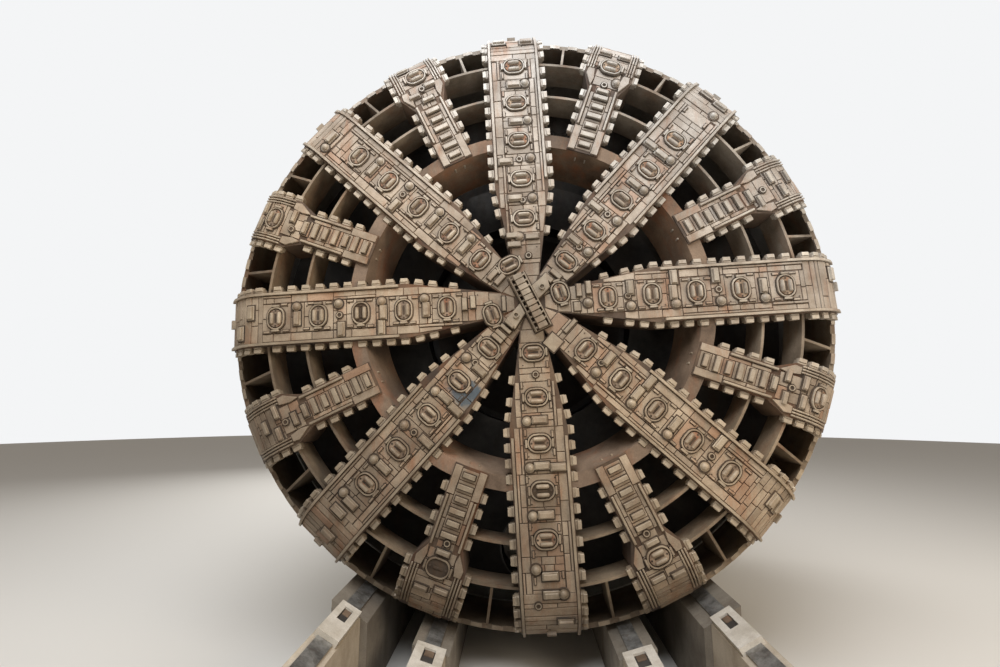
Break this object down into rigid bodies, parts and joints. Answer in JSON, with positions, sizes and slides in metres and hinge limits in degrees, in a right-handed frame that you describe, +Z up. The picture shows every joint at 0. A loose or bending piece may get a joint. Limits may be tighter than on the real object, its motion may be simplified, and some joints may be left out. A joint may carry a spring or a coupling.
{
  "type": "tunnel boring machine",
  "caption": "Large soft-ground shield machine with a spoked cutterhead, thrust jacks, a screw conveyor and a segment erector, standing on its concrete cradle.",
  "frame": {"origin": "middle of the footprint on the floor under the cradle", "axes": "+Z up, +Y towards the machine's tail along its axis, so the cutterhead faces -Y; +X to the right as seen from the front"},
  "size_m": [17.4499, 20.8, 18.625],
  "materials": {
    "head_steel": "dusty, worn",
    "rusty_steel": "rusty",
    "hard_steel": "worn bright",
    "machined_steel": "oiled",
    "rod_chrome": "ground",
    "shield_paint": "light grey, dusty",
    "wire_brush": "greased wire",
    "motor_blue": "gloss",
    "lock_white": "gloss",
    "erector_orange": "gloss",
    "deck_grey": "non-slip",
    "rail_yellow": "gloss",
    "concrete": "rough concrete",
    "new_concrete": "fresh concrete",
    "rail_steel": "scuffed"
  },
  "bodies": {
    "shield": {"front_shield": "shield_paint", "middle_shield": "shield_paint", "tail_skin": "shield_paint", "tail_brushes": "wire_brush", "bulkhead": "shield_paint", "bearing_housing": "shield_paint", "drive_motors": "motor_blue", "jack_ring_front": "shield_paint", "jack_ring_rear": "shield_paint", "jack_barrels": "motor_blue", "screw_tube": "motor_blue", "screw_drive": "motor_blue", "man_locks": "lock_white", "decks": "deck_grey", "deck_posts": "deck_grey", "deck_rails": "rail_yellow", "erector_guide": "shield_paint", "cradle_walls": "concrete", "cradle_front_walls": "new_concrete", "cradle_rails": "rail_steel", "cradle_boxes": "new_concrete"},
    "cutterhead": {"main_spokes": "head_steel", "short_spokes": "head_steel", "rim": "head_steel", "ring_plates": "head_steel", "ring_webs": "head_steel", "box_ring": "rusty_steel", "cutter_housings": "hard_steel", "edge_bits": "hard_steel", "short_spoke_bits": "hard_steel", "face_blocks": "hard_steel", "edge_rails": "head_steel", "centre_bit": "hard_steel", "rim_bits": "hard_steel", "support_legs": "rusty_steel", "drive_drum": "machined_steel", "centre_shaft": "machined_steel", "mixing_bars": "rusty_steel"},
    "jacks_top": {"jacks_top": "rod_chrome"},
    "jacks_right": {"jacks_right": "rod_chrome"},
    "jacks_bottom": {"jacks_bottom": "rod_chrome"},
    "jacks_left": {"jacks_left": "rod_chrome"},
    "auger": {"screw_auger": "machined_steel"},
    "gate": {"screw_gate": "machined_steel"},
    "lock_door_left": {"lock_door_left": "erector_orange"},
    "lock_door_right": {"lock_door_right": "erector_orange"},
    "erector": {"erector_ring": "erector_orange"},
    "carriage": {"erector_carriage": "erector_orange"},
    "gripper": {"erector_gripper": "erector_orange"}
  },
  "joints": [
    {"name": "cutterhead_spin", "type": "hinge", "parent": "shield", "child": "cutterhead", "pos_m": [0, -7, 9.9], "axis": [0, 1, 0], "continuous": true},
    {"name": "screw_spin", "type": "hinge", "parent": "shield", "child": "auger", "pos_m": [0, -3.4, 2.6], "axis": [0, 0.9135, 0.4067], "continuous": true},
    {"name": "gate_slide", "type": "slide", "parent": "shield", "child": "gate", "axis": [0, 0.9135, 0.4067], "range_m": [0, 1]},
    {"name": "thrust_top", "type": "slide", "parent": "shield", "child": "jacks_top", "axis": [0, 1, 0], "range_m": [0, 2.4]},
    {"name": "thrust_right", "type": "slide", "parent": "shield", "child": "jacks_right", "axis": [0, 1, 0], "range_m": [0, 2.4]},
    {"name": "thrust_bottom", "type": "slide", "parent": "shield", "child": "jacks_bottom", "axis": [0, 1, 0], "range_m": [0, 2.4]},
    {"name": "thrust_left", "type": "slide", "parent": "shield", "child": "jacks_left", "axis": [0, 1, 0], "range_m": [0, 2.4]},
    {"name": "erector_swing", "type": "hinge", "parent": "shield", "child": "erector", "pos_m": [0, 4, 9.9], "axis": [0, 1, 0], "range_deg": [-200, 200]},
    {"name": "carriage_slide", "type": "slide", "parent": "erector", "child": "carriage", "axis": [0, 1, 0], "range_m": [0, 1.3]},
    {"name": "gripper_slide", "type": "slide", "parent": "carriage", "child": "gripper", "axis": [0, 0, -1], "range_m": [0, 0.75]},
    {"name": "lock_door_left_swing", "type": "hinge", "parent": "shield", "child": "lock_door_left", "pos_m": [-3.19, -0.16, 15.9], "axis": [0, 0, 1], "range_deg": [0, 100]},
    {"name": "lock_door_right_swing", "type": "hinge", "parent": "shield", "child": "lock_door_right", "pos_m": [3.19, -0.16, 15.9], "axis": [0, 0, -1], "range_deg": [0, 100]}
  ]
}
